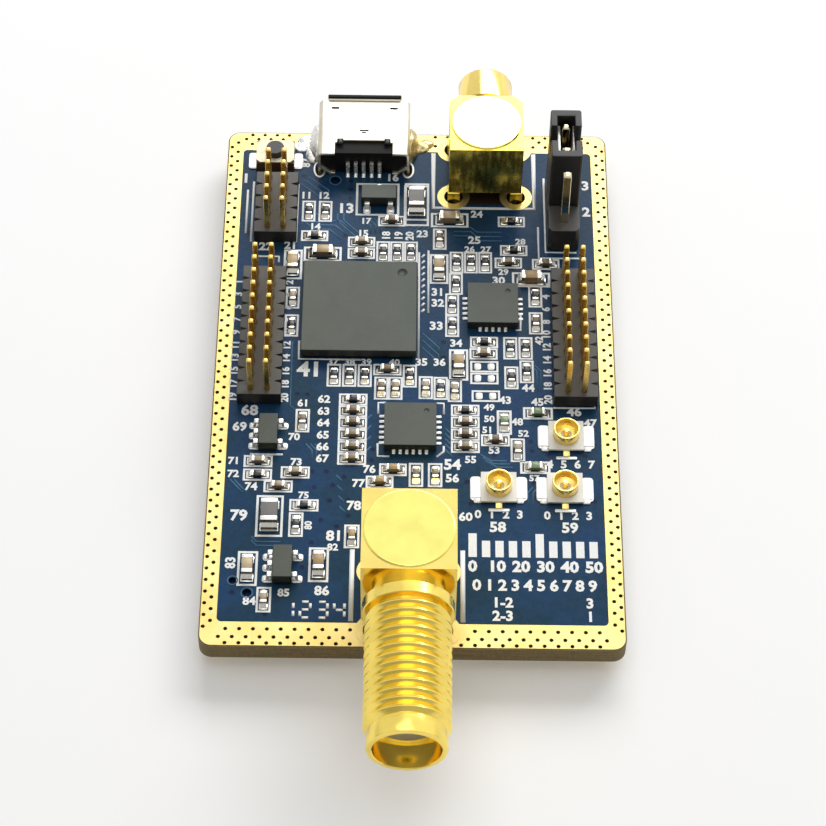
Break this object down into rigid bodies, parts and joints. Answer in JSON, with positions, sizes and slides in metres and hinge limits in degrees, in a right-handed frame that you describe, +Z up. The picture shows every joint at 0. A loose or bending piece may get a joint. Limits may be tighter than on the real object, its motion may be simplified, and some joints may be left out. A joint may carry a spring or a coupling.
{
  "type": "radio receiver circuit board",
  "caption": "Bare populated blue circuit board of a software radio: gold border, threaded and push-fit coaxial jacks, micro USB socket, pin headers, pull-off shunt and push switch.",
  "frame": {"origin": "middle of the whole object's outline, on the surface that its lowest leads stand on", "axes": "+X across the board, +Y along it from the threaded jack to the USB socket, +Z up from the component side"},
  "size_m": [0.0312, 0.064, 0.0128],
  "materials": {
    "laminate": "sawn glass-fibre board edge",
    "gold_plate": "flat gold plating on copper foil",
    "solder_mask": "deep blue lacquer over copper tracks",
    "solder": "bright tin",
    "gold_metal": "gold-plated brass",
    "clear_insulator": "pale fluoropolymer",
    "tinned_steel": "tin-plated sheet",
    "black_plastic": "moulded black",
    "brown_plastic": "moulded dark brown",
    "white_plastic": "moulded ivory white",
    "chip_epoxy": "fine grey-black moulding compound",
    "tan_ceramic": "fired ceramic",
    "dark_ceramic": "dark glaze",
    "green_ceramic": "grey-green glaze",
    "white_ceramic": "pale grey ceramic"
  },
  "bodies": {
    "root": {"board_laminate": "laminate", "boot_header_body": "black_plastic", "boot_header_pins": "gold_metal", "border_foil_bottom": "gold_plate", "border_foil_top": "gold_plate", "clock_leads": "solder", "clock_package": "chip_epoxy", "coax_bases": "white_plastic", "coax_pins": "gold_metal", "coax_shells": "gold_metal", "debug_header_body": "black_plastic", "debug_header_pins": "gold_metal", "diode_bodies": "green_ceramic", "diode_ends": "solder", "ferrite_bodies": "dark_ceramic", "ferrite_ends": "solder", "inductor_bodies": "white_ceramic", "inductor_ends": "solder", "large_capacitor_bodies": "tan_ceramic", "large_capacitor_ends": "solder", "left_header_body": "black_plastic", "left_header_pins": "gold_metal", "mcx_barrel": "gold_metal", "mcx_body": "gold_metal", "mcx_cap": "gold_metal", "mcx_contact": "gold_metal", "mcx_insulator": "clear_insulator", "processor_balls": "solder", "processor_package": "chip_epoxy", "right_header_body": "black_plastic", "right_header_pins": "gold_metal", "sma_barrel": "gold_metal", "sma_body": "gold_metal", "sma_cap": "gold_metal", "sma_contact": "gold_metal", "sma_insulator": "clear_insulator", "small_capacitor_bodies": "tan_ceramic", "small_capacitor_ends": "solder", "small_package_bodies": "chip_epoxy", "small_package_leads": "solder", "small_resistor_bodies": "dark_ceramic", "small_resistor_ends": "solder", "solder_joints": "solder", "solder_mask_bottom": "solder_mask", "solder_mask_top": "solder_mask", "switch_base": "brown_plastic", "switch_cover": "tinned_steel", "switch_dome": "tinned_steel", "switch_terminals": "solder", "tuner_leads": "solder", "tuner_package": "chip_epoxy", "usb_contacts": "gold_plate", "usb_insulator": "black_plastic", "usb_shell": "tinned_steel", "usb_solder": "solder"},
    "shunt": {"shunt_housing": "black_plastic", "shunt_clip": "tinned_steel"},
    "button": {"switch_button": "black_plastic"}
  },
  "joints": [
    {"name": "shunt_pull", "type": "slide", "parent": "root", "child": "shunt", "axis": [0, 0, 1], "range_m": [0, 0.006]},
    {"name": "button_press", "type": "slide", "parent": "root", "child": "button", "axis": [0, 0, -1], "range_m": [0, 0.00025], "stiffness_N_per_m": 100}
  ]
}
